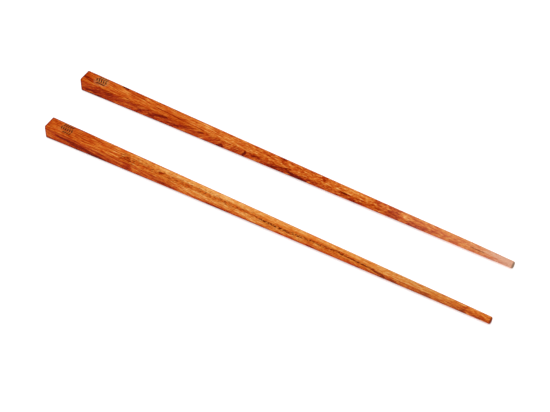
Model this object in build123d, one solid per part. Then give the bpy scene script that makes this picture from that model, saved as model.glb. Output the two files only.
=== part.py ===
from build123d import *
import math
import os

# A pair of wooden chopsticks, each shaped from one piece of wood. They lie side by
# side on Z = 0 with their heads towards -X and their tips towards +X, and the middle
# of the pair is over the origin. Sizes are in millimetres.

# Driving dimensions of a stick
LENGTH = 240.0              # end of the head to end of the tip
HEAD_WIDTH = 8.0            # across the square head
TIP_WIDTH = 3.5             # across the round tip
TIP_TAPER = 20.0            # last stretch, which narrows a little faster
REAR_NECK_WIDTH = 4.15      # across the rear stick where that stretch starts
FRONT_NECK_WIDTH = 3.95     # across the front stick where that stretch starts
HEAD_CORNER = 0.8           # radius of the long edges where they start at the head
TIP_FLAT = 0.1              # what is left of each of the four flats at the tip
HEAD_EASING = 0.45          # rounding of the rim of the head's end
TIP_EASING = 0.65           # rounding of the rim of the tip's end
SOLE_DEPTH = 0.03           # planed off the underside, which gives a flat sole
REAR_WARP = 0.03            # how far the rear stick's middle bends towards +Y
FRONT_WARP = 0.35           # how far the front stick's middle bends towards +Y

# How the two sticks lie
HEAD_SPACING = 37.2         # between the middles of the two heads, along Y
TIP_SPACING = 34.9          # between the middles of the two tips, along Y
STAGGER = 4.5               # how far the front stick lies further towards +X

# Where the outline is drawn, as shares of the length
NECK = 1 - TIP_TAPER / LENGTH
STATIONS = (0.0, 0.25, 0.5, 0.75, NECK, 1.0)


def width(share, neck_width):
    """Across the stick at a share of its length: straight to the neck, then to the tip."""
    if share <= NECK:
        return HEAD_WIDTH + (neck_width - HEAD_WIDTH) * share / NECK
    return neck_width + (TIP_WIDTH - neck_width) * (share - NECK) / (1 - NECK)


def outline(share, neck_width, warp):
    """The section across X at a share of the length: a square whose flats give way to
    its rounded corners until it is as good as a circle at the tip."""
    across = width(share, neck_width)
    head_flat = 1 - 2 * HEAD_CORNER / HEAD_WIDTH
    tip_flat = TIP_FLAT / TIP_WIDTH
    flat = across * (head_flat + (tip_flat - head_flat) * share)
    middle = (LENGTH * share, 4 * warp * share * (1 - share), across / 2 - SOLE_DEPTH)
    plane = Plane(origin=middle, x_dir=(0, 1, 0), z_dir=(1, 0, 0))
    return plane * RectangleRounded(across, across, (across - flat) / 2)


def chopstick(neck_width, warp):
    """One stick along +X from the middle of its head's end, with its sole on Z = 0."""
    stick = loft([outline(share, neck_width, warp) for share in STATIONS])
    stick = fillet(stick.faces().sort_by(Axis.X)[-1].edges(), TIP_EASING)
    stick = fillet(stick.faces().sort_by(Axis.X)[0].edges(), HEAD_EASING)
    shaving = Box(2 * LENGTH, 2 * HEAD_WIDTH, HEAD_WIDTH, align=(Align.CENTER, Align.CENTER, Align.MAX))
    return stick - shaving


def lay(stick, side):
    """Lay a stick at the rear (side 1) or at the front (side -1) of the pair. Both turn
    in by the same angle, because the tips lie closer together than the heads."""
    toe_in = math.asin((HEAD_SPACING - TIP_SPACING) / 2 / LENGTH)
    head_x = -(LENGTH * math.cos(toe_in) + side * STAGGER) / 2
    head_y = side * HEAD_SPACING / 2
    return Pos(head_x, head_y, 0) * Rot(0, 0, -side * math.degrees(toe_in)) * stick


parts = {
    "rear_chopstick": lay(chopstick(REAR_NECK_WIDTH, REAR_WARP), 1),
    "front_chopstick": lay(chopstick(FRONT_NECK_WIDTH, FRONT_WARP), -1),
}

os.makedirs("parts", exist_ok=True)
for name, shape in parts.items():
    export_step(shape, f"parts/{name}.step")
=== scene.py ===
import math

import bmesh
import bpy
from mathutils import Matrix, Vector, noise


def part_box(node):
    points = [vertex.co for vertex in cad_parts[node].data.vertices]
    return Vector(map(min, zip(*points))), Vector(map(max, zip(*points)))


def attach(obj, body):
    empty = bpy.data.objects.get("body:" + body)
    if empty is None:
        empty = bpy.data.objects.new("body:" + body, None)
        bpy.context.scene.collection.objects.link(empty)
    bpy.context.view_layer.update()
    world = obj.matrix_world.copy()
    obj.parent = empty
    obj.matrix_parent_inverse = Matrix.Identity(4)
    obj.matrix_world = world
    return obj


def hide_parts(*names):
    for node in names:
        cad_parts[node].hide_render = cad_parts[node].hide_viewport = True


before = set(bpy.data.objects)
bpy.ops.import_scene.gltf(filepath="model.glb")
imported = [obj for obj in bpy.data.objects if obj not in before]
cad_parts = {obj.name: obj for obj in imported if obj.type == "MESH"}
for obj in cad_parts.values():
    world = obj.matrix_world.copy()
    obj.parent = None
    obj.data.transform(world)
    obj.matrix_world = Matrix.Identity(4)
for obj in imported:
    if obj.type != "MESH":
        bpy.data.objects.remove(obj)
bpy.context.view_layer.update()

MM = 0.001

# The section of a stick, from head to tip
HEAD_WIDTH = 7.98 * MM
TIP_WIDTH = 3.48 * MM
NECK_WIDTH = {"rear_chopstick": 4.13 * MM, "front_chopstick": 3.93 * MM}
WARP = {"rear_chopstick": 0.03 * MM, "front_chopstick": 0.35 * MM}
HEAD_FLAT = 0.8                 # share of a side that is flat at the head
TIP_FLAT = 0.03                 # and at the tip
HEAD_EASING = 0.45 * MM         # rounding of the rim of the head's end
TIP_EASING = 0.65 * MM          # rounding of the rim of the tip's end
SOLE_DEPTH = 0.03 * MM          # planed off the underside
END_SLICE = 1.5 * MM            # how much of each end tells where a stick lies

# How finely a stick is modelled
SPANS = 12                      # stretches between drawn sections, the last from the neck
RINGS_A_SPAN = 50
CORNER_FACES = 9
FLAT_FACES = 5
EASING_FACES = 4
END_INSET = 0.2 * MM
HAIR = 0.001 * MM               # points nearer than this are one point
SMOOTH_UP_TO = math.radians(40)  # edges sharper than this stay crisp

# How the surface is laid out flat for baking
STRIPS = 3                      # one above the other, each a third of the length
STRIP_GAP = 0.004
END_ROOM = 0.035                # beside the strips, for the two ends
END_SIZE = 0.03

# Traces of hand work, cut into the wood
WAVE_DEPTH = 0.035 * MM         # sanding waves along the flats
WAVE_LENGTH = 16 * MM
WEAR_DEPTH = 0.09 * MM          # extra rounding of the long edges
WEAR_LENGTH = 9 * MM
WAVE_SEED = {"rear_chopstick": 0, "front_chopstick": 40}

# The camera's place
AZIMUTH = math.radians(29.20)
ELEVATION = math.radians(47.50)
ROLL = math.radians(0.93)
DISTANCE = 717 * MM
AIM = Vector((3.6, -4.8, 0)) * MM
LENS = 98.18
SENSOR = 36

# Table and light
TABLE_SIZE = 6
TABLE_DROP = 0.02 * MM          # just under the sticks' soles
TABLE_GLOW = 0.55
OVERHEAD_PLACE = (-0.10, -0.10, 1.5)
OVERHEAD_SIZE = 1.2
OVERHEAD_WATTS = 12
SKY = 0.55


def srgb(red, green, blue):
    """A colour as a screen shows it, in the values that shaders use."""
    shares = (value / 255 for value in (red, green, blue))
    return tuple(v / 12.92 if v <= 0.04045 else ((v + 0.055) / 1.055) ** 2.4 for v in shares) + (1.0,)


# ------------------------------------------------------------------ shape

class Lie:
    """Where a stick lies, read from its CAD node."""

    def __init__(self, node):
        low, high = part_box(node)
        points = [vertex.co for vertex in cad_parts[node].data.vertices]
        head = [p.y for p in points if p.x < low.x + END_SLICE]
        tip = [p.y for p in points if p.x > high.x - END_SLICE]
        head_y = (min(head) + max(head)) / 2
        tip_y = (min(tip) + max(tip)) / 2
        self.length = high.x - low.x
        self.start = Vector((low.x, head_y, 0))
        self.toe_in = math.atan2(tip_y - head_y, self.length)


def width_at(node, share):
    """Across a stick at a share of its length: straight to the neck, then to the tip."""
    neck = 1 - 1 / SPANS
    if share <= neck:
        return HEAD_WIDTH + (NECK_WIDTH[node] - HEAD_WIDTH) * share / neck
    return NECK_WIDTH[node] + (TIP_WIDTH - NECK_WIDTH[node]) * (share - neck) / (1 - neck)


def middle_at(node, length, share):
    """The middle of a stick's section, for a stick along +X from the origin."""
    sideways = 4 * WARP[node] * share * (1 - share)
    return Vector((length * share, sideways, width_at(node, share) / 2 - SOLE_DEPTH))


def select(piece, kind, test):
    """Select those vertices, edges or faces of a piece in edit mode that pass a test."""
    bpy.ops.mesh.select_mode(type=kind)
    bpy.ops.mesh.select_all(action="DESELECT")
    mesh = bmesh.from_edit_mesh(piece.data)
    for part in {"VERT": mesh.verts, "EDGE": mesh.edges, "FACE": mesh.faces}[kind]:
        part.select = test(part)
    mesh.select_flush_mode()
    bmesh.update_edit_mesh(piece.data)


def draw_section(node, length, share):
    """One outline of a stick: a square with rounded corners, as a closed loop of edges."""
    width = width_at(node, share)
    flat = HEAD_FLAT + (TIP_FLAT - HEAD_FLAT) * share
    bpy.ops.object.select_all(action="DESELECT")
    bpy.ops.mesh.primitive_plane_add(
        size=width, rotation=(0, -math.pi / 2, 0), location=middle_at(node, length, share)
    )
    section = bpy.context.object
    bpy.ops.object.mode_set(mode="EDIT")
    bpy.ops.mesh.select_all(action="SELECT")
    bpy.ops.mesh.bevel(offset=width * (1 - flat) / 2, segments=CORNER_FACES, affect="VERTICES")
    slack = width * 1e-4

    def on_a_flat(edge):
        along = edge.verts[0].co - edge.verts[1].co
        return min(abs(along.x), abs(along.y)) < slack

    select(section, "EDGE", on_a_flat)
    bpy.ops.mesh.subdivide(number_cuts=FLAT_FACES - 1)
    bpy.ops.mesh.select_all(action="SELECT")
    bpy.ops.mesh.delete(type="ONLY_FACE")
    bpy.ops.object.mode_set(mode="OBJECT")
    return section


def ease_end(stick, x, radius):
    """Round the rim of one end, set the end's flat face off from the rounding, and make one
    point of those that fall together where a corner is round almost to its middle."""

    def in_rim(edge):
        return all(abs(vertex.co.x - x) < HAIR for vertex in edge.verts)

    select(stick, "EDGE", in_rim)
    bpy.ops.mesh.bevel(offset=radius, segments=EASING_FACES, affect="EDGES")
    select(stick, "FACE", lambda face: abs(face.calc_center_median().x - x) < HAIR)
    bpy.ops.mesh.inset(thickness=END_INSET, use_even_offset=False)
    bpy.ops.mesh.select_all(action="SELECT")
    bpy.ops.mesh.remove_doubles(threshold=HAIR)


def shape_stick(node):
    """A stick as it leaves the plane: sections bridged from head to tip, both ends closed
    and eased, cut across finely, with a flat sole, and laid where the CAD node lies."""
    lie = Lie(node)
    sections = [draw_section(node, lie.length, span / SPANS) for span in range(SPANS + 1)]
    bpy.ops.object.select_all(action="DESELECT")
    for section in sections:
        section.select_set(True)
    stick = sections[0]
    bpy.context.view_layer.objects.active = stick
    bpy.ops.object.join()
    bpy.ops.object.transform_apply(location=True, rotation=True, scale=True)
    bpy.ops.object.mode_set(mode="EDIT")
    bpy.ops.mesh.select_mode(type="EDGE")
    bpy.ops.mesh.select_all(action="SELECT")
    bpy.ops.mesh.bridge_edge_loops()
    for x in (0, lie.length):
        select(stick, "EDGE", lambda edge: all(abs(v.co.x - x) < HAIR for v in edge.verts))
        bpy.ops.mesh.edge_face_add()
    bpy.ops.mesh.select_all(action="SELECT")
    bpy.ops.mesh.normals_make_consistent(inside=False)
    ease_end(stick, 0, HEAD_EASING)
    ease_end(stick, lie.length, TIP_EASING)
    half_a_span = lie.length / SPANS / 2
    select(stick, "EDGE", lambda edge: abs(edge.verts[0].co.x - edge.verts[1].co.x) > half_a_span)
    bpy.ops.mesh.subdivide(number_cuts=RINGS_A_SPAN - 1)
    bpy.ops.object.mode_set(mode="OBJECT")
    stick.name = node.replace("chopstick", "stick")
    stick.data.name = stick.name
    wear(stick, node, lie)
    unroll(stick, node, lie)
    stick.data.transform(Matrix.Translation(lie.start) @ Matrix.Rotation(lie.toe_in, 4, "Z"))
    bpy.ops.object.shade_smooth_by_angle(angle=SMOOTH_UP_TO)
    return stick


def wear(stick, node, lie):
    """Cut the waves of hand sanding into the flats, round the long edges a little more
    here and there, and plane the sole."""
    seed = Vector((0, WAVE_SEED[node], 0))
    moves = []
    for vertex in stick.data.vertices:
        share = min(max(vertex.co.x / lie.length, 0), 1)
        out = vertex.co - middle_at(node, lie.length, share)
        half = width_at(node, share) / 2
        across = Vector((0, out.y / half, out.z / half))
        # Every flat has waves of its own
        face = Vector((0, round(across.y * 0.7) * 5, round(across.z * 0.7) * 5))
        wave = noise.noise(Vector((vertex.co.x / WAVE_LENGTH, 0, 0)) + face + seed)
        rub = noise.noise(Vector((vertex.co.x / WEAR_LENGTH, 9, 0)) + face * 0.5 + seed)
        corner = min(abs(across.y), abs(across.z)) ** 6
        depth = WAVE_DEPTH * (0.6 + 0.6 * wave) * half / (HEAD_WIDTH / 2)
        depth += WEAR_DEPTH * corner * max(0.4 + rub, 0)
        moves.append(out.normalized() * depth if out.length > 0 else Vector())
    for vertex, move in zip(stick.data.vertices, moves):
        vertex.co -= Vector((0, move.y, move.z))
        vertex.co.z = max(vertex.co.z, 0)


def girth_place(across):
    """Where a direction from the middle of the section meets the unrolled surface: 0 on the
    rear top edge, 1 on the front top edge, 2 on the front lower edge, 3 on the rear lower edge."""
    y, z = across.y, across.z
    if z >= abs(y):
        return 0.5 - 0.5 * y / z
    if -y >= abs(z):
        return 1.5 + 0.5 * z / y
    if -z >= abs(y):
        return 2.5 - 0.5 * y / z
    return 3.5 + 0.5 * z / y


def unroll(stick, node, lie):
    """Give a stick two maps. Grain runs from head to tip in U and once round in V. OFBake lays
    the surface out in long strips, and the ends beside them."""
    mesh = stick.data
    grain = mesh.uv_layers.new(name="Grain")
    bake = mesh.uv_layers.new(name="OFBake")
    strip_height = 1 / STRIPS
    for face in mesh.polygons:
        centre = face.center
        share = min(max(centre.x / lie.length, 0), 1)
        home = girth_place(centre - middle_at(node, lie.length, share))
        strip = min(int(share * STRIPS), STRIPS - 1)
        at_end = abs(face.normal.x) > 0.7
        for corner in face.loop_indices:
            place = mesh.vertices[mesh.loops[corner].vertex_index].co
            along = min(max(place.x / lie.length, 0), 1)
            middle = middle_at(node, lie.length, along)
            turn = girth_place(place - middle)
            if turn - home > 2:
                turn -= 4
            if home - turn > 2:
                turn += 4
            turn = min(max(turn, 0), 4)
            grain.data[corner].uv = (along, turn / 4)
            if at_end:
                spot = (place - middle) / HEAD_WIDTH
                row = 0.25 if centre.x < lie.length / 2 else 0.75
                bake.data[corner].uv = (END_SIZE * (spot.y + 0.55), row + END_SIZE * spot.z)
            else:
                u = END_ROOM + (along * STRIPS - strip) * (1 - END_ROOM - STRIP_GAP)
                v = strip * strip_height + STRIP_GAP + turn / 4 * (strip_height - 2 * STRIP_GAP)
                bake.data[corner].uv = (u, v)
    mesh.uv_layers.active = grain


# ------------------------------------------------------------------ finish

class Field:
    """A number that varies over a surface: a socket, with arithmetic that adds Math nodes."""

    def __init__(self, tree, socket):
        self.tree = tree
        self.socket = socket

    def with_maths(self, operation, *values, clamp=False):
        """The result of one Math node on some values or fields."""
        node = self.tree.nodes.new("ShaderNodeMath")
        node.operation = operation
        node.use_clamp = clamp
        for slot, value in zip(node.inputs, values):
            if isinstance(value, Field):
                self.tree.links.new(value.socket, slot)
            else:
                slot.default_value = value
        return Field(self.tree, node.outputs[0])

    def __add__(self, other):
        return self.with_maths("ADD", self, other)

    def __radd__(self, other):
        return self.with_maths("ADD", other, self)

    def __sub__(self, other):
        return self.with_maths("SUBTRACT", self, other)

    def __rsub__(self, other):
        return self.with_maths("SUBTRACT", other, self)

    def __mul__(self, other):
        return self.with_maths("MULTIPLY", self, other)

    def __rmul__(self, other):
        return self.with_maths("MULTIPLY", other, self)

    def __truediv__(self, other):
        return self.with_maths("DIVIDE", self, other)

    def __abs__(self):
        return self.with_maths("ABSOLUTE", self)

    def clamped(self):
        """Kept between 0 and 1."""
        return self.with_maths("ADD", self, 0.0, clamp=True)

    def most(self, other):
        """The greater of two."""
        return self.with_maths("MAXIMUM", self, other)

    def least(self, other):
        """The lesser of two."""
        return self.with_maths("MINIMUM", self, other)

    def wrapped(self):
        """Its part after the point, for what repeats."""
        return self.with_maths("FRACT", self)

    def to_and_fro(self, reach):
        """Up from 0 to a reach and down again, over and over."""
        return self.with_maths("PINGPONG", self, reach)


class Finish:
    """A material in the making."""

    def __init__(self, name):
        self.material = bpy.data.materials.new(name)
        self.material.use_nodes = True
        self.tree = self.material.node_tree
        self.tree.nodes.clear()

    def node(self, kind, settings=None, sockets=None, output=0):
        """Add a node: its type, its settings, and the values or links of its sockets."""
        node = self.tree.nodes.new(kind)
        for name, value in (settings or {}).items():
            if name == "stops":
                ramp = node.color_ramp
                while len(ramp.elements) > 1:
                    ramp.elements.remove(ramp.elements[-1])
                ramp.elements[0].position, ramp.elements[0].color = value[0]
                for place, colour in value[1:]:
                    ramp.elements.new(place).color = colour
            else:
                setattr(node, name, value)
        for name, value in (sockets or {}).items():
            if isinstance(value, Field):
                self.tree.links.new(value.socket, node.inputs[name])
            else:
                node.inputs[name].default_value = value
        return Field(self.tree, node.outputs[output]) if node.outputs else None

    def mix(self, share, below, above, way="MIX"):
        """Two colours mixed: a Mix node's colour sockets are its seventh and eighth."""
        return self.node(
            "ShaderNodeMix", {"data_type": "RGBA", "blend_type": way}, {0: share, 6: below, 7: above}, 2
        )

    def rise(self, value, low, high):
        """0 at low and 1 at high, smooth between; with low above high it falls."""
        if low > high:
            return 1 - self.rise(value, high, low)
        return self.node(
            "ShaderNodeMapRange",
            {"interpolation_type": "SMOOTHSTEP"},
            {"Value": value, "From Min": low, "From Max": high, "To Min": 0.0, "To Max": 1.0},
        )

    def profile(self, value, span, stops):
        """A number that follows a value from 0 to span, through stops of (value, number)."""
        return self.node(
            "ShaderNodeValToRGB",
            {"stops": [(place / span, (number, number, number, 1.0)) for place, number in stops]},
            {"Fac": value / span},
        )

    def place(self, x, y, z=0.0):
        """Three numbers as one vector."""
        return self.node("ShaderNodeCombineXYZ", sockets={"X": x, "Y": y, "Z": z})

    def noise(self, x, y, z=0.0, detail=2.0, roughness=0.55):
        """Noise from about -1 to 1 at a place."""
        cloud = self.node(
            "ShaderNodeTexNoise",
            {"noise_dimensions": "3D"},
            {"Vector": self.place(x, y, z), "Scale": 1.0, "Detail": detail, "Roughness": roughness},
        )
        return (cloud - 0.5) * 4.0


# From the darkest heart to the palest sap, as one runs into the other
WOOD_TONES = [
    (0.00, (108, 16, 0)), (0.15, (130, 24, 0)), (0.30, (158, 40, 1)), (0.45, (184, 62, 8)),
    (0.60, (205, 92, 22)), (0.75, (222, 124, 42)), (0.90, (236, 157, 74)), (1.00, (246, 186, 112)),
]
BURNT = (50, 26, 14)
PORE = (104, 18, 0)
REDDER = (214, 88, 40)
YELLOWER = (200, 150, 40)
STICK_LENGTH = 240.0            # in mm, as the patterns below count it
HEAD_SIDE = 8.0                 # the breadth of a face at the head, in mm
NARROWING = 0.0168              # what a face loses in a mm of length
SOFT_EDGE = 0.05                # how softly a row of the ornament starts and ends, in mm
ORNAMENT_MIDDLE = 10.6          # in mm from the head
ORNAMENT_REACH = (4.6, 0.44)    # half its length in mm, half its height in faces
WOOD_ROUGHNESS = 0.42
GRAIN_RELIEF = 0.05 * MM


def grain_place(wood):
    """Where a point is on the unrolled stick: mm from the head, and faces round from the rear
    top edge, 0 to 4."""
    grain = wood.node("ShaderNodeUVMap", {"uv_map": "Grain"})
    split = wood.node("ShaderNodeSeparateXYZ", sockets={"Vector": grain})
    turn = Field(wood.tree, split.socket.node.outputs[1])
    return split * STICK_LENGTH, turn * 4


def flame(wood, along, turn, ragged, spot):
    """A figure on the unrolled surface, its edge broken up by the grain. A spot is its middle and
    its height, its half length and half breadth, and how far it climbs round over a half length."""
    middle, height, half_length, half_breadth, climb = spot
    off = (along - middle) / half_length
    aside = (turn - height - off * climb) / half_breadth
    inside = (1 - off * off - aside * aside).clamped()
    return wood.rise(inside * (1 + ragged), 0.05, 0.38)


def vessel_line(wood, along, turn, wander, dash, line):
    """Open pores in a line, as dashes: where the line starts and ends, its heights there, its
    half breadth, its strength, and how few dashes it has."""
    start, end, first, last, breadth, strength, sparse = line
    way = (along - start) / (end - start)
    off = abs(turn - first - way * (last - first) - wander * 0.05)
    near = wood.rise(off, breadth, breadth * 0.2) * wood.rise(abs(way - 0.5), 0.52, 0.46)
    return near * wood.rise(dash, sparse, sparse + 0.35) * strength


def ornament(wood, along, turn, rows):
    """A burnt herringbone border near the head on the top face. A row is its height and half
    height in faces, its start, its count of strokes, their pitch in mm and their slant."""
    mask = None
    for height, half_height, start, count, pitch, slant in rows:
        off = turn - height
        step = ((along - start + off * slant) / pitch).wrapped() - 0.5
        stroke = wood.rise(abs(step), 0.34, 0.22) * wood.rise(abs(off), half_height, half_height * 0.75)
        end = start + count * pitch
        begun = wood.rise(along, start - SOFT_EDGE, start + SOFT_EDGE)
        over = wood.rise(along, end + SOFT_EDGE, end - SOFT_EDGE)
        row = stroke * (begun * over)
        mask = row if mask is None else mask.most(row)
    return mask


def chopstick_wood(name, look):
    """Oiled wood: a tone for each place, from the run of its growth layers, flames and pores,
    turned into the wood's own colours."""
    wood = Finish(name)
    along, turn = grain_place(wood)
    folded = turn.to_and_fro(2.0)
    breadth = HEAD_SIDE - along * NARROWING
    down = (folded - 1) * breadth                   # mm from the front top edge
    side = wood.rise(folded, 0.97, 1.04)
    seed = look["seed"]

    # How far the grain has climbed or dropped, in mm, on the top and on the side
    steepening = (along - look["steep_from"]).most(0.0).least(look["steep_for"])
    top_run = down - along * look["top_slope"]
    side_run = down + along * look["side_slope"] + steepening * steepening * look["steepening"]

    wander = wood.noise(along / 22, down / 6, seed, 2.0)
    mottle = wood.noise(along / 3.2, down / 1.1, seed + 11, 3.0, 0.6)

    # Base tone: two bands on the top, two on the side
    bands = [wood.profile(along, STICK_LENGTH, stops) for stops in look["bands"]]
    top_mix = wood.rise(folded + wander * 0.06 + mottle * 0.1, 0.48, 0.76)
    side_mix = wood.rise(folded, 1.35, 1.75)
    top_tone = bands[0] + (bands[1] - bands[0]) * top_mix
    side_tone = bands[2] + (bands[3] - bands[2]) * side_mix
    tone = top_tone + (side_tone - top_tone) * side

    # Growth layers, then streaks of fibre, on each face along its own grain
    top_layer = wood.noise(along / 45, top_run / look["top_layer"] + wander * 0.8, seed + 3, 1.5)
    side_layer = wood.noise(along / 45, side_run / look["side_layer"] + wander * 0.8, seed + 5, 1.5)
    top_streak = wood.noise(along / 7, top_run / 0.55, seed + 7, 3.0, 0.6)
    side_streak = wood.noise(along / 5, side_run / 0.6, seed + 9, 3.0, 0.6)
    layer = top_layer * look["top_layers"] * (1 - side) + side_layer * look["side_layers"] * side
    top_share = wood.profile(along, STICK_LENGTH, look["top_streaks"])
    side_share = wood.profile(along, STICK_LENGTH, look["side_streaks"])
    streak = top_streak * top_share * (1 - side) + side_streak * side_share * side
    fibre = wood.noise(along / 4, (down - along * 0.02) / 0.14, seed + 8, 2.0) * 0.03
    curl = wood.noise((along + down * 1.1) / 1.7, (down - along * 0.2) / 1.0, seed + 15, 3.0, 0.6)
    curled = wood.profile(along, STICK_LENGTH, look["curl"])
    mottled = wood.profile(along, STICK_LENGTH, look["mottle"])
    tone = tone + layer + streak + fibre + mottle * mottled + curl * curled

    # Flames and patches of heartwood, and a few paler ones
    ragged = wood.noise(along / 3.5, down / 0.5, seed + 13, 3.0, 0.6) * 0.9
    drift = wood.noise(along / 8, down / 2.5, seed + 17, 2.0)
    for *spot, change in look["flames"]:
        licked = flame(wood, along + drift * 1.5, folded + drift * 0.05, ragged, spot)
        tone = tone + licked * change

    # Edges: a painted highlight along the front top edge, painted shade along the rear top edge and the front
    # lower edge, and darker round the head
    highlight_strength = wood.profile(along, STICK_LENGTH, look["painted_ridge_highlight"])
    painted_ridge_highlight = wood.rise(abs(folded - 0.99), 0.13, 0.02) * highlight_strength
    # Painted shade: darker along the front lower edge and along the rear top edge
    painted_lower_edge_shade = wood.rise(folded, 1.80, 1.92) * look["lower_edge_shade"]
    painted_edge_shade = wood.rise(folded, 0.15, 0.05) * look["edge_shade"] + painted_lower_edge_shade
    tone = tone + painted_ridge_highlight * wood.rise(mottle + top_streak, -0.9, 0.6) - painted_edge_shade
    head_rim = wood.rise(along, 1.1, 0.2)
    tone = tone - head_rim * 0.34

    colour = wood.node(
        "ShaderNodeValToRGB",
        {"stops": [(place, srgb(*shade)) for place, shade in WOOD_TONES]},
        {"Fac": tone.clamped()},
    )

    # Hue: redder and yellower patches
    hue = wood.noise(along / 9, down / 2.2, seed + 19, 3.0)
    colour = wood.mix(wood.rise(hue, 0.1, 0.9) * 0.28, colour, srgb(*REDDER), "SOFT_LIGHT")
    colour = wood.mix(wood.rise(hue, -0.1, -0.9) * 0.25, colour, srgb(*YELLOWER), "SOFT_LIGHT")

    # Paler, greyer wood towards the tip
    reach = along - side * 5 + streak * 16 + (mottle + curl) * 3.5
    pale = wood.profile(reach, STICK_LENGTH + 20, look["paleness"])
    pale = pale * (1 - side * 0.1 - painted_edge_shade * 1.2 + (mottle + curl) * 0.12).clamped()
    colour = wood.mix(pale, colour, srgb(*look["pale_tone"]))
    at_tip = wood.rise(along, STICK_LENGTH - 0.9, STICK_LENGTH - 0.2)
    colour = wood.mix(at_tip * 0.8, colour, srgb(*look["tip_tone"]))

    # Pores: short fine dashes everywhere, and longer ones along certain lines
    dash = wood.noise((along + down * 0.5) / 1.2, down / 0.6, seed + 23, 2.0, 0.6)
    fine_dash = wood.noise(along / 0.8, down / 0.11, seed + 27, 1.0)
    pores = wood.rise(fine_dash, 0.42, 0.75) * look["pores"]
    for line in look["vessel_lines"]:
        pores = pores.most(vessel_line(wood, along, folded, wander, dash, line))
    colour = wood.mix(pores.clamped(), colour, srgb(*PORE))

    # Burnt ornament near the head, on wood scraped a little paler
    burnt = ornament(wood, along, turn, look["ornament"])
    off = abs(along - ORNAMENT_MIDDLE) / ORNAMENT_REACH[0]
    aside = abs(turn - 0.5) / ORNAMENT_REACH[1]
    scraped = wood.rise(off * off + aside * aside, 1.1, 0.7) * wood.rise(mottle, -0.7, 0.5)
    colour = wood.mix(scraped * 0.6, colour, srgb(*look["ornament_ground"]))
    colour = wood.mix(burnt * 0.92, colour, srgb(*BURNT))

    height = streak + fibre * 3 - pores * 0.7 - burnt * 1.4 + mottle * 0.04
    bump = wood.node(
        "ShaderNodeBump", sockets={"Height": height, "Strength": 0.3, "Distance": GRAIN_RELIEF}
    )
    roughness = WOOD_ROUGHNESS + pale * 0.2 + pores * 0.25 + burnt * 0.3 + mottle * 0.04
    surface = wood.node(
        "ShaderNodeBsdfPrincipled",
        sockets={
            "Base Color": colour,
            "Roughness": roughness.clamped(),
            "Normal": bump,
            "IOR": 1.5,
            "Specular IOR Level": 0.02,
            "Specular Tint": (1.0, 0.5, 0.2, 1.0),
        },
    )
    wood.node("ShaderNodeOutputMaterial", sockets={"Surface": surface})
    return wood.material


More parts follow.
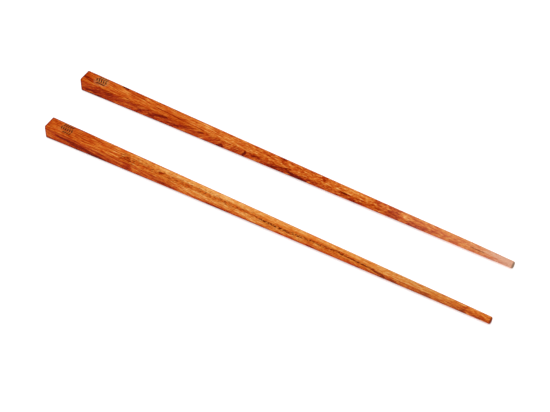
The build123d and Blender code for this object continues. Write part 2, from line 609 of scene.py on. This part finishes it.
# How each stick's wood looks. Places along it are in mm from the head, and heights are in faces
# round from the rear top edge.
# bands: the tone at the rear and the front of the top, then at the top and the foot of the side
# flames: middle, height, half length, half breadth, climb and change of tone of each
# vessel_lines, ornament: rows as vessel_line and ornament unpack them
REAR = {
    "seed": 2.0,
    "top_slope": 0.09, "side_slope": 0.23, "steep_from": 60.0, "steep_for": 38.0, "steepening": 0.013,
    "top_layer": 1.3, "side_layer": 2.2, "top_layers": 0.14, "side_layers": 0.22,
    "top_streaks": [(0, 0.36), (100, 0.36), (125, 0.20), (210, 0.16), (240, 0.08)],
    "side_streaks": [(0, 0.34), (110, 0.34), (140, 0.24), (240, 0.18)],
    "mottle": [(0, 0.06), (90, 0.09), (112, 0.20), (170, 0.22), (210, 0.16), (240, 0.08)],
    "curl": [(0, 0.12), (70, 0.14), (90, 0.24), (125, 0.32), (185, 0.28), (210, 0.20), (240, 0.14)],
    # how strong the painted highlight along the front top edge is, along the stick
    "painted_ridge_highlight": [(0, 0.06), (50, 0.08), (100, 0.10), (150, 0.06), (240, 0.03)],
    # how strong the painted shade along the rear top edge and along the front lower edge is
    "edge_shade": 0.36, "lower_edge_shade": 0.48,
    "bands": [
        [(0, 0.46), (10, 0.62), (60, 0.63), (72, 0.76), (90, 0.72), (110, 0.63), (142, 0.64), (155, 0.79),
         (172, 0.60), (186, 0.73), (210, 0.77), (240, 0.84)],
        [(0, 0.50), (15, 0.60), (60, 0.57), (80, 0.69), (105, 0.60), (142, 0.62), (155, 0.70), (172, 0.57),
         (188, 0.72), (210, 0.74), (240, 0.84)],
        [(0, 0.44), (35, 0.46), (55, 0.50), (75, 0.55), (105, 0.56), (120, 0.51), (145, 0.58), (175, 0.56),
         (190, 0.60), (215, 0.64), (240, 0.72)],
        [(0, 0.40), (35, 0.41), (60, 0.47), (90, 0.48), (105, 0.52), (125, 0.42), (145, 0.54), (175, 0.47),
         (195, 0.50), (215, 0.54), (240, 0.62)],
    ],
    "flames": [
        (13, 1.44, 12, 0.16, -0.34, -0.26),
        (10, 1.76, 6, 0.10, -0.14, -0.14),
        (6, 0.75, 8, 0.12, 0.25, -0.20),
        (31, 0.34, 8, 0.09, 0.12, -0.16),
        (62, 0.80, 19, 0.09, 0.20, -0.20),
        (37, 1.45, 5, 0.11, -0.36, -0.20),
        (46, 1.38, 7, 0.15, -0.32, -0.34),
        (58, 1.50, 5, 0.13, -0.33, -0.20),
        (67, 1.44, 5, 0.16, -0.26, -0.18),
        (71, 1.16, 2.2, 0.12, -0.04, -0.30),
        (82.5, 1.74, 2.6, 0.24, -0.25, -0.40),
        (92, 1.60, 3.0, 0.30, -0.2, -0.12),
        (97, 1.50, 1.6, 0.28, -0.36, -0.44),
        (104, 1.30, 3.0, 0.14, -0.1, -0.14),
        (114, 1.62, 6, 0.24, 0.05, -0.26),
        (121, 1.40, 4, 0.24, 0.1, -0.26),
        (127, 1.62, 6, 0.26, 0.12, -0.36),
        (136, 1.50, 3, 0.16, 0.0, -0.16),
        (152, 1.12, 4, 0.14, 0.08, -0.30),
        (157, 1.62, 3.5, 0.24, 0.0, -0.28),
        (168, 1.60, 3, 0.20, 0.0, -0.12),
        (178, 1.40, 4.0, 0.42, 0.0, -0.16),
        (54, 0.12, 1.4, 0.10, 0.02, -0.24),
        (36, 0.30, 2.5, 0.10, 0.05, -0.16),
        (103, 0.25, 2.0, 0.16, 0.05, -0.16),
        (116, 0.20, 3.5, 0.22, 0.15, -0.16),
        (127, 0.60, 3.0, 0.14, 0.10, -0.16),
        (140, 0.45, 2.6, 0.30, 0.25, -0.18),
        (150, 0.80, 3.0, 0.10, 0.20, -0.12),
        (178, 0.80, 3.6, 0.50, 0.10, -0.15),
        (181, 0.34, 1.8, 0.26, 0.15, -0.13),
        (185, 0.75, 3.0, 0.40, 0.20, 0.09),
        (118, 0.55, 2.2, 0.30, 0.20, -0.16),
        (164, 0.60, 2.0, 0.30, -0.20, 0.08),
        (169, 0.50, 2.4, 0.36, 0.20, -0.12),
    ],
    "pores": 0.35,
    "vessel_lines": [(21.8, 25.8, 0.05, 0.10, 0.19, 1.5, -1.2), (218.5, 225.5, 0.98, 1.04, 0.13, 0.85, -0.5)],
    "paleness": [(0, 0.0), (165, 0.0), (190, 0.12), (215, 0.20), (224, 0.36), (230, 0.74), (236, 0.84),
                 (260, 0.86)],
    "pale_tone": (226, 178, 154), "tip_tone": (132, 108, 84),
    "ornament": [(0.24, 0.11, 8.0, 4, 1.35, 4.0), (0.47, 0.11, 7.0, 5, 1.35, -4.0),
                 (0.69, 0.10, 8.4, 4, 1.30, 4.0)],
    "ornament_ground": (196, 132, 78),
}

FRONT = {
    "seed": 40.0,
    "top_slope": 0.03, "side_slope": -0.10, "steep_from": 0.0, "steep_for": 1.0, "steepening": 0.0,
    "top_layer": 1.1, "side_layer": 1.8, "top_layers": 0.12, "side_layers": 0.16,
    "top_streaks": [(0, 0.46), (45, 0.34), (70, 0.18), (240, 0.20)],
    "side_streaks": [(0, 0.28), (60, 0.34), (240, 0.34)],
    "mottle": [(0, 0.05), (50, 0.09), (180, 0.10), (205, 0.14), (240, 0.14)],
    "curl": [(0, 0.14), (60, 0.15), (180, 0.15), (200, 0.22), (240, 0.22)],
    # how strong the painted highlight along the front top edge is, along the stick
    "painted_ridge_highlight": [(0, 0.05), (20, 0.10), (60, 0.20), (115, 0.16), (125, 0.0), (180, 0.0), (186, 0.28),
               (204, 0.26), (212, 0.05), (240, 0.03)],
    # how strong the painted shade along the rear top edge and along the front lower edge is
    "edge_shade": 0.36, "lower_edge_shade": 0.48,
    "bands": [
        [(0, 0.53), (20, 0.54), (35, 0.66), (50, 0.76), (65, 0.86), (95, 0.93), (125, 0.86), (170, 0.87),
         (205, 0.87), (225, 0.77), (240, 0.73)],
        [(0, 0.58), (15, 0.54), (35, 0.62), (60, 0.61), (80, 0.66), (110, 0.62), (135, 0.70), (165, 0.62),
         (185, 0.80), (205, 0.80), (225, 0.68), (240, 0.66)],
        [(0, 0.56), (15, 0.46), (30, 0.50), (55, 0.58), (75, 0.62), (86, 0.80), (110, 0.78), (150, 0.74),
         (178, 0.66), (195, 0.60), (240, 0.56)],
        [(0, 0.58), (18, 0.42), (35, 0.45), (60, 0.48), (80, 0.50), (95, 0.50), (150, 0.51), (190, 0.49),
         (240, 0.50)],
    ],
    "flames": [
        (19, 1.56, 14, 0.16, 0.22, -0.24),
        (30, 1.84, 6, 0.16, 0.02, -0.30),
        (9, 1.36, 6, 0.10, 0.10, -0.14),
        (47, 0.80, 3.0, 0.30, 0.0, -0.20),
        (48, 1.40, 3.0, 0.34, 0.0, -0.18),
        (66, 1.35, 12, 0.09, 0.14, -0.20),
        (70, 1.66, 9, 0.14, 0.06, -0.22),
        (66.5, 0.70, 1.6, 0.14, 0.0, -0.30),
        (98, 1.84, 9, 0.14, 0.0, -0.30),
        (122, 1.84, 9, 0.14, 0.0, -0.30),
        (149, 1.66, 3.5, 0.16, 0.0, -0.18),
        (172, 1.72, 4.0, 0.20, 0.0, -0.18),
        (184, 1.26, 5.0, 0.18, 0.20, -0.44),
        (187, 1.60, 4.0, 0.20, -0.15, -0.34),
        (192, 1.56, 2.5, 0.26, 0.20, -0.24),
        (203, 1.70, 5.0, 0.16, -0.10, -0.16),
        (208, 1.42, 4.5, 0.20, 0.22, -0.22),
        (217, 1.62, 4.0, 0.18, -0.15, -0.14),
        (225.5, 1.62, 3.0, 0.26, -0.20, -0.34),
        (227, 1.20, 1.8, 0.30, -0.30, -0.20),
        (227.5, 0.70, 2.4, 0.20, -0.25, -0.20),
        (221, 0.60, 2.0, 0.12, -0.10, -0.10),
        (233, 1.34, 4.5, 0.12, 0.10, -0.16),
        (234, 0.78, 3.5, 0.12, 0.15, -0.10),
    ],
    "pores": 0.35,
    "vessel_lines": [
        (43, 52, 0.60, 0.88, 0.46, 0.7, -0.1), (50, 122, 0.64, 0.86, 0.46, 0.62, 0.0),
        (121, 138, 0.98, 1.04, 0.20, 1.1, -0.25), (138, 166, 0.98, 0.84, 0.24, 1.0, -0.15),
        (164, 182, 0.90, 1.04, 0.19, 1.1, -0.25),
    ],
    "paleness": [(0, 0.0), (165, 0.0), (200, 0.3), (215, 0.3), (230, 0.1), (260, 0.1)],
    "pale_tone": (176, 116, 62), "tip_tone": (122, 20, 4),
    "ornament": [(0.24, 0.12, 7.8, 5, 1.20, 3.0), (0.51, 0.12, 7.2, 6, 1.20, -3.0),
                 (0.78, 0.10, 9.6, 4, 1.20, 3.0)],
    "ornament_ground": (204, 108, 44),
}

LOOKS = {"rear_chopstick": ("rear_wood", REAR), "front_chopstick": ("front_wood", FRONT)}

for node, (slot, look) in LOOKS.items():
    stick = shape_stick(node)
    stick.data.materials.append(chopstick_wood(slot, look))
    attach(stick, "root")
    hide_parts(node)


# ------------------------------------------------------------------ studio

def lit_table(name):
    """A white tabletop lit from beneath, which leaves only a faint shadow on it."""
    paint = Finish(name)
    surface = paint.node(
        "ShaderNodeBsdfPrincipled",
        sockets={
            "Base Color": (0.7, 0.7, 0.7, 1.0),
            "Roughness": 0.8,
            "Specular IOR Level": 0.1,
            "Emission Color": (1.0, 1.0, 1.0, 1.0),
            "Emission Strength": TABLE_GLOW,
        },
    )
    paint.node("ShaderNodeOutputMaterial", sockets={"Surface": surface})
    return paint.material


bpy.ops.object.select_all(action="DESELECT")
bpy.ops.mesh.primitive_plane_add(size=TABLE_SIZE, location=(0, 0, -TABLE_DROP))
floor = bpy.context.object
floor.name = "floor"
floor.data.materials.append(lit_table("pale_floor"))


def soft_light(name, place, size, watts):
    """A square light that faces the sticks."""
    bpy.ops.object.light_add(type="AREA", location=place)
    light = bpy.context.object
    light.name = name
    light.data.size = size
    light.data.energy = watts
    light.rotation_euler = Vector(place).to_track_quat("Z", "Y").to_euler()


soft_light("overhead_box", OVERHEAD_PLACE, OVERHEAD_SIZE, OVERHEAD_WATTS)

world = bpy.data.worlds.new("studio")
world.use_nodes = True
sky = world.node_tree.nodes["Background"]
sky.inputs["Color"].default_value = (1.0, 1.0, 1.0, 1.0)
sky.inputs["Strength"].default_value = SKY
bpy.context.scene.world = world
bpy.context.scene.view_settings.view_transform = "Standard"

turn_to_aim = (
    Matrix.Rotation(AZIMUTH, 3, "Z")
    @ Matrix.Rotation(math.pi / 2 - ELEVATION, 3, "X")
    @ Matrix.Rotation(ROLL, 3, "Z")
)
back = turn_to_aim @ Vector((0, 0, 1))
bpy.ops.object.camera_add(location=AIM + back * DISTANCE, rotation=turn_to_aim.to_euler())
camera = bpy.context.object
camera.data.lens = LENS
camera.data.sensor_width = SENSOR
camera.data.clip_start = 0.01
camera.data.clip_end = 20
bpy.context.scene.camera = camera
